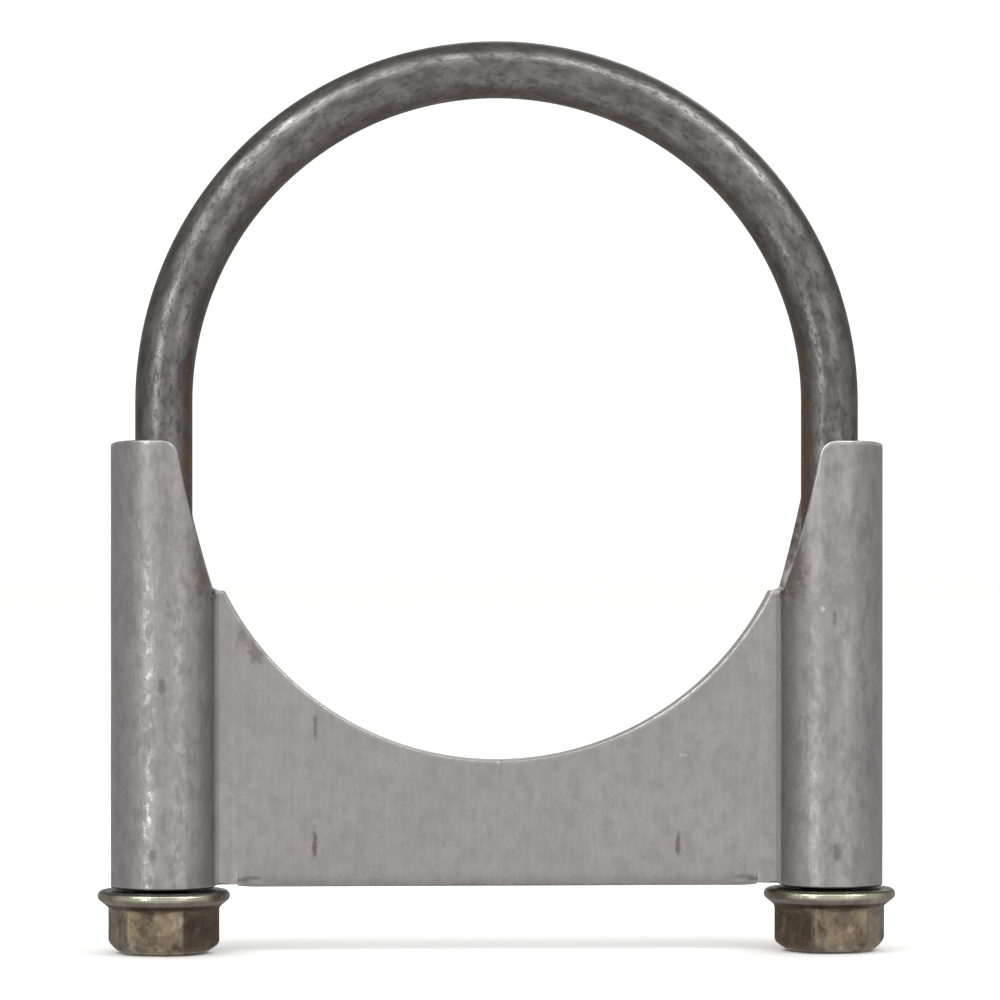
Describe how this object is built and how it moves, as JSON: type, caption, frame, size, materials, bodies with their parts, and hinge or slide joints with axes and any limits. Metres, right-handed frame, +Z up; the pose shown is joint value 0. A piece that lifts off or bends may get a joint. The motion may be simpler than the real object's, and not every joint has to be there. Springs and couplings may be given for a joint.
{
  "type": "saddle u-bolt pipe clamp",
  "caption": "Heavy-duty exhaust pipe clamp: a bent round rod with threaded legs, a folded sheet-steel saddle that slides on the legs, and hexagon flange nuts that draw it shut.",
  "frame": {"origin": "on the ground plane under the two nuts, midway between the legs", "axes": "+Z up from the nuts to the arch, X across the two legs, Y along the clamped pipe's axis; the front is -Y"},
  "size_m": [0.1332, 0.022, 0.1515],
  "materials": {
    "rod_steel": "dark mottled mill-scale steel, bare and slightly glossy",
    "saddle_steel": "grey pressed sheet steel, dull, with faint blue-violet and brown handling stains",
    "nut_zinc": "yellow zinc plate, mottled olive and brown, satin"
  },
  "bodies": {
    "u_bolt": {"u_bolt": "rod_steel"},
    "saddle": {"saddle": "saddle_steel"},
    "nut_left": {"nut_left": "nut_zinc"},
    "nut_right": {"nut_right": "nut_zinc"}
  },
  "joints": [
    {"name": "nut_left_turn", "type": "hinge", "parent": "saddle", "child": "nut_left", "pos_m": [-0.05556, 0, 0.0051], "axis": [0, 0, 1], "range_deg": [0, 1980]},
    {"name": "nut_right_turn", "type": "hinge", "parent": "saddle", "child": "nut_right", "pos_m": [0.05556, 0, 0.0051], "axis": [0, 0, 1], "range_deg": [0, 1980]},
    {"name": "saddle_slide", "type": "slide", "parent": "u_bolt", "child": "saddle", "axis": [0, 0, 1], "range_m": [0, 0.00873]}
  ],
  "couplings": [
    {"joint": "nut_left_turn", "follows": "saddle_slide", "rad_per_m": 3957.9},
    {"joint": "nut_right_turn", "follows": "saddle_slide", "rad_per_m": 3957.9}
  ]
}
